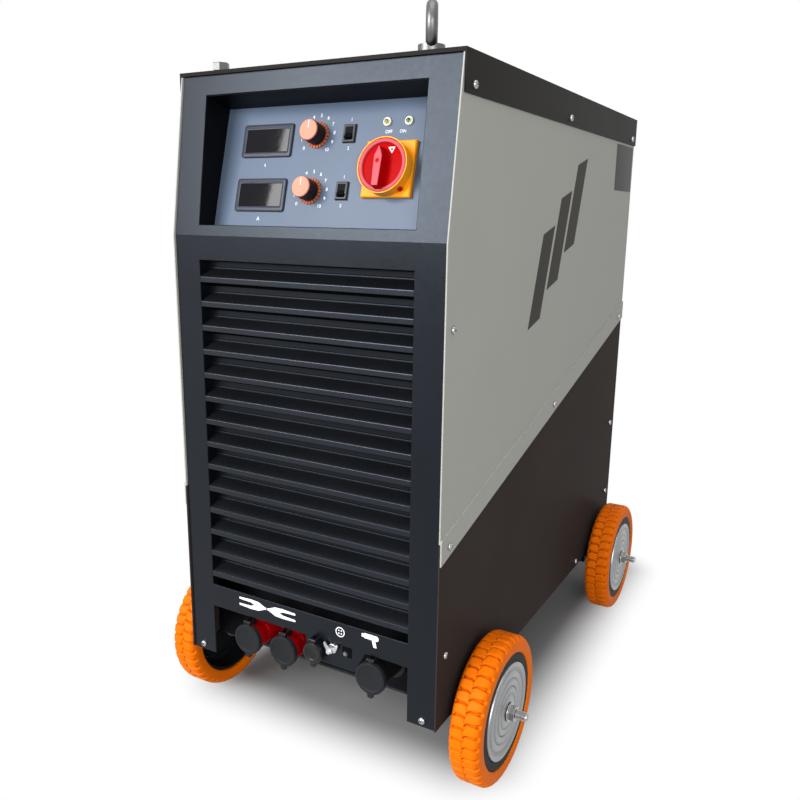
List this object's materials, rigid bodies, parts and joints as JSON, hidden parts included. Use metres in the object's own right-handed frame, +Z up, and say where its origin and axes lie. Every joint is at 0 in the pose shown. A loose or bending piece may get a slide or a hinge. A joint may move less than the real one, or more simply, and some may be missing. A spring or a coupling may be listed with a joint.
{
  "type": "stud welder",
  "caption": "Floor-standing stud welding power source: tall louvred cabinet on wheels with a recessed control panel, lidded cable sockets and lifting eyes.",
  "frame": {"origin": "on the floor, under the middle of the machine's bounding box", "axes": "+Z up, -Y out of the control front, +X to the right as seen from the front"},
  "size_m": [0.5636, 0.7868, 0.961],
  "materials": {
    "black_paint": "textured powder coat",
    "cover_paint": "satin powder coat",
    "grey_paint": "satin paint",
    "dark_paint": "satin paint",
    "panel_paint": "matt paint",
    "recess_paint": "textured powder coat",
    "zinc": "bright zinc plate",
    "rim_metal": "pressed and zinc plated",
    "tyre_rubber": "orange moulded rubber",
    "black_plastic": "moulded",
    "lid_rubber": "moulded",
    "red_plastic": "moulded",
    "yellow_plastic": "moulded",
    "salmon_plastic": "moulded",
    "meter_plastic": "moulded",
    "dark_glass": "smoked window",
    "lamp_plastic": "translucent",
    "brass": "turned",
    "aluminium": "extruded",
    "core_steel": "laminated",
    "copper": "enamelled wire",
    "can_plastic": "sleeved",
    "board": "coated"
  },
  "bodies": {
    "cabinet": {"base_pan": "black_paint", "axle_brackets": "black_paint", "front_axle": "zinc", "rear_axle": "zinc", "axle_nuts": "zinc", "front_panel": "black_paint", "louvre_blades": "black_paint", "recess_shroud": "recess_paint", "control_panel": "panel_paint", "meter_cases": "meter_plastic", "meter_windows": "dark_glass", "dial_rings": "salmon_plastic", "potentiometers": "zinc", "rocker_housings": "black_plastic", "switch_plate": "yellow_plastic", "switch_body": "black_plastic", "indicator_lamps": "lamp_plastic", "top_cover": "cover_paint", "left_upper_panel": "grey_paint", "right_upper_panel": "grey_paint", "left_lower_panel": "dark_paint", "right_lower_panel": "dark_paint", "rear_panel": "black_paint", "eyebolts": "zinc", "lid_bolts": "zinc", "panel_screws": "zinc", "connector_plate": "recess_paint", "earth_sockets": "red_plastic", "gun_socket": "black_plastic", "socket_contacts": "brass", "control_socket": "black_plastic", "earth_terminal": "zinc", "cable_gland": "black_plastic", "fan_frame": "aluminium", "heat_sink": "aluminium", "power_modules": "black_plastic", "capacitors": "can_plastic", "magnetic_cores": "core_steel", "windings": "copper", "control_board": "board"},
    "front_left_wheel": {"front_left_tyre": "tyre_rubber", "front_left_rim": "rim_metal"},
    "front_right_wheel": {"front_right_tyre": "tyre_rubber", "front_right_rim": "rim_metal"},
    "rear_left_wheel": {"rear_left_tyre": "tyre_rubber", "rear_left_rim": "rim_metal"},
    "rear_right_wheel": {"rear_right_tyre": "tyre_rubber", "rear_right_rim": "rim_metal"},
    "time_dial": {"time_knob": "black_plastic", "time_knob_cap": "salmon_plastic"},
    "current_dial": {"current_knob": "black_plastic", "current_knob_cap": "salmon_plastic"},
    "control_rocker": {"control_rocker": "black_plastic"},
    "mode_rocker": {"mode_rocker": "black_plastic"},
    "switch_handle": {"switch_handle": "red_plastic"},
    "left_earth_lid": {"left_earth_lid": "lid_rubber"},
    "right_earth_lid": {"right_earth_lid": "lid_rubber"},
    "gun_lid": {"gun_lid": "lid_rubber"},
    "control_lid": {"control_lid": "black_plastic"},
    "fan_rotor": {"fan_rotor": "black_plastic"}
  },
  "joints": [
    {"name": "front_left_spin", "type": "hinge", "parent": "cabinet", "child": "front_left_wheel", "pos_m": [-0.232, -0.27605, 0.0985], "axis": [1, 0, 0], "continuous": true},
    {"name": "front_right_spin", "type": "hinge", "parent": "cabinet", "child": "front_right_wheel", "pos_m": [0.232, -0.27605, 0.0985], "axis": [1, 0, 0], "continuous": true},
    {"name": "rear_left_spin", "type": "hinge", "parent": "cabinet", "child": "rear_left_wheel", "pos_m": [-0.232, 0.29495, 0.0985], "axis": [1, 0, 0], "continuous": true},
    {"name": "rear_right_spin", "type": "hinge", "parent": "cabinet", "child": "rear_right_wheel", "pos_m": [0.232, 0.29495, 0.0985], "axis": [1, 0, 0], "continuous": true},
    {"name": "time_turn", "type": "hinge", "parent": "cabinet", "child": "time_dial", "pos_m": [-0.0115, -0.32188, 0.8284], "axis": [0, -0.9681, 0.2504], "range_deg": [-150, 150]},
    {"name": "current_turn", "type": "hinge", "parent": "cabinet", "child": "current_dial", "pos_m": [-0.0115, -0.33916, 0.7616], "axis": [0, -0.9681, 0.2504], "range_deg": [-150, 150]},
    {"name": "control_rocker_tilt", "type": "hinge", "parent": "cabinet", "child": "control_rocker", "pos_m": [0.0355, -0.32188, 0.8284], "axis": [1, 0, 0], "range_deg": [0, 24]},
    {"name": "mode_rocker_tilt", "type": "hinge", "parent": "cabinet", "child": "mode_rocker", "pos_m": [0.0355, -0.33916, 0.7616], "axis": [1, 0, 0], "range_deg": [0, 24]},
    {"name": "main_switch_turn", "type": "hinge", "parent": "cabinet", "child": "switch_handle", "pos_m": [0.098, -0.33302, 0.78532], "axis": [0, 0.9681, -0.2504], "range_deg": [0, 90]},
    {"name": "left_earth_lid_swing", "type": "hinge", "parent": "cabinet", "child": "left_earth_lid", "pos_m": [-0.093, -0.38495, 0.181], "axis": [-1, 0, 0], "range_deg": [0, 110]},
    {"name": "right_earth_lid_swing", "type": "hinge", "parent": "cabinet", "child": "right_earth_lid", "pos_m": [-0.032, -0.38495, 0.181], "axis": [-1, 0, 0], "range_deg": [0, 110]},
    {"name": "gun_lid_swing", "type": "hinge", "parent": "cabinet", "child": "gun_lid", "pos_m": [0.107, -0.38495, 0.1844], "axis": [-1, 0, 0], "range_deg": [0, 110]},
    {"name": "control_lid_swing", "type": "hinge", "parent": "cabinet", "child": "control_lid", "pos_m": [0.021, -0.38995, 0.1895], "axis": [-1, 0, 0], "range_deg": [0, 110]},
    {"name": "fan_spin", "type": "hinge", "parent": "cabinet", "child": "fan_rotor", "pos_m": [0, 0.34395, 0.673], "axis": [0, 1, 0], "continuous": true}
  ]
}
